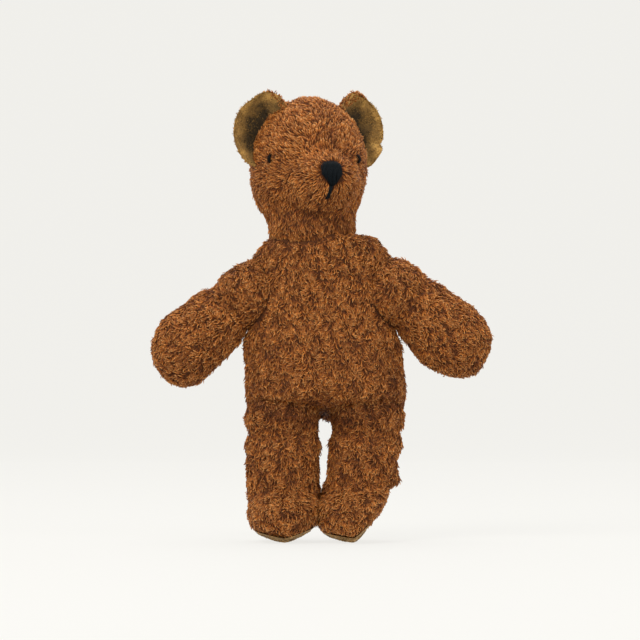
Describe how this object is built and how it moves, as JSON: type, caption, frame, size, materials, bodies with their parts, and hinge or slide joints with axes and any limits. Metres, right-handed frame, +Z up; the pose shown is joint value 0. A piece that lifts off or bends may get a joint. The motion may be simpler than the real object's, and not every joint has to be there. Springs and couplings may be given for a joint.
{
  "type": "teddy bear",
  "caption": "Soft sewn teddy bear in curly plush, standing with arms held out, with a neck, shoulders and hips that flex, smooth ear linings and soles, and an embroidered face.",
  "frame": {"origin": "on the floor under the middle of the bear's overall box, with both soles at Z = 0", "axes": "+Z up; the bear faces -Y; +X is the bear's own left side"},
  "size_m": [0.228, 0.0905, 0.3001],
  "materials": {
    "plush": "curly cotton pile",
    "velour": "short smooth pile",
    "embroidery_thread": "satin stitch",
    "sewing_thread": "hand sewn",
    "filling": "wool filling"
  },
  "bodies": {
    "torso": {"torso_front_panel": "plush", "torso_back_left_panel": "plush", "torso_back_right_panel": "plush", "torso_stuffing": "filling", "back_closing_stitches": "sewing_thread", "neck_seam": "sewing_thread", "left_shoulder_seam": "sewing_thread", "right_shoulder_seam": "sewing_thread", "left_hip_seam": "sewing_thread", "right_hip_seam": "sewing_thread"},
    "neck": {"neck_wad": "filling"},
    "head": {"head_left_panel": "plush", "head_right_panel": "plush", "head_gusset": "plush", "head_stuffing": "filling", "left_ear_back": "plush", "left_ear_lining": "velour", "right_ear_back": "plush", "right_ear_lining": "velour", "left_eye": "embroidery_thread", "right_eye": "embroidery_thread", "nose_embroidery": "embroidery_thread", "mouth_stitch": "embroidery_thread"},
    "left_shoulder": {"left_shoulder_wad": "filling"},
    "left_arm": {"left_arm_front_panel": "plush", "left_arm_back_panel": "plush", "left_arm_stuffing": "filling"},
    "left_hip": {"left_hip_wad": "filling"},
    "left_leg": {"left_leg_front_panel": "plush", "left_leg_back_panel": "plush", "left_leg_stuffing": "filling", "left_sole": "velour"},
    "right_shoulder": {"right_shoulder_wad": "filling"},
    "right_arm": {"right_arm_front_panel": "plush", "right_arm_back_panel": "plush", "right_arm_stuffing": "filling"},
    "right_hip": {"right_hip_wad": "filling"},
    "right_leg": {"right_leg_front_panel": "plush", "right_leg_back_panel": "plush", "right_leg_stuffing": "filling", "right_sole": "velour"}
  },
  "joints": [
    {"name": "neck_turn", "type": "hinge", "parent": "torso", "child": "neck", "pos_m": [-0.0055, 0, 0.211], "axis": [0, 0, 1], "range_deg": [-77, 42]},
    {"name": "neck_nod", "type": "hinge", "parent": "neck", "child": "head", "pos_m": [-0.0055, 0, 0.211], "axis": [0.9537, 0.3007, 0], "range_deg": [-12, 25]},
    {"name": "left_shoulder_swing", "type": "hinge", "parent": "torso", "child": "left_shoulder", "pos_m": [0.046, 0, 0.167], "axis": [-1, 0, 0], "range_deg": [-40, 75]},
    {"name": "left_shoulder_raise", "type": "hinge", "parent": "left_shoulder", "child": "left_arm", "pos_m": [0.046, 0, 0.167], "axis": [0, -1, 0], "range_deg": [-6, 62]},
    {"name": "left_hip_swing", "type": "hinge", "parent": "torso", "child": "left_hip", "pos_m": [0.0305, 0, 0.088], "axis": [-1, 0, 0], "range_deg": [-15, 70]},
    {"name": "left_hip_spread", "type": "hinge", "parent": "left_hip", "child": "left_leg", "pos_m": [0.0305, 0, 0.088], "axis": [0, -1, 0], "range_deg": [0, 15]},
    {"name": "right_shoulder_swing", "type": "hinge", "parent": "torso", "child": "right_shoulder", "pos_m": [-0.046, 0, 0.167], "axis": [-1, 0, 0], "range_deg": [-40, 75]},
    {"name": "right_shoulder_raise", "type": "hinge", "parent": "right_shoulder", "child": "right_arm", "pos_m": [-0.046, 0, 0.167], "axis": [0, 1, 0], "range_deg": [-4, 67]},
    {"name": "right_hip_swing", "type": "hinge", "parent": "torso", "child": "right_hip", "pos_m": [-0.0239, 0, 0.088], "axis": [-1, 0, 0], "range_deg": [-15, 70]},
    {"name": "right_hip_spread", "type": "hinge", "parent": "right_hip", "child": "right_leg", "pos_m": [-0.0239, 0, 0.088], "axis": [0, 1, 0], "range_deg": [0, 15]}
  ]
}
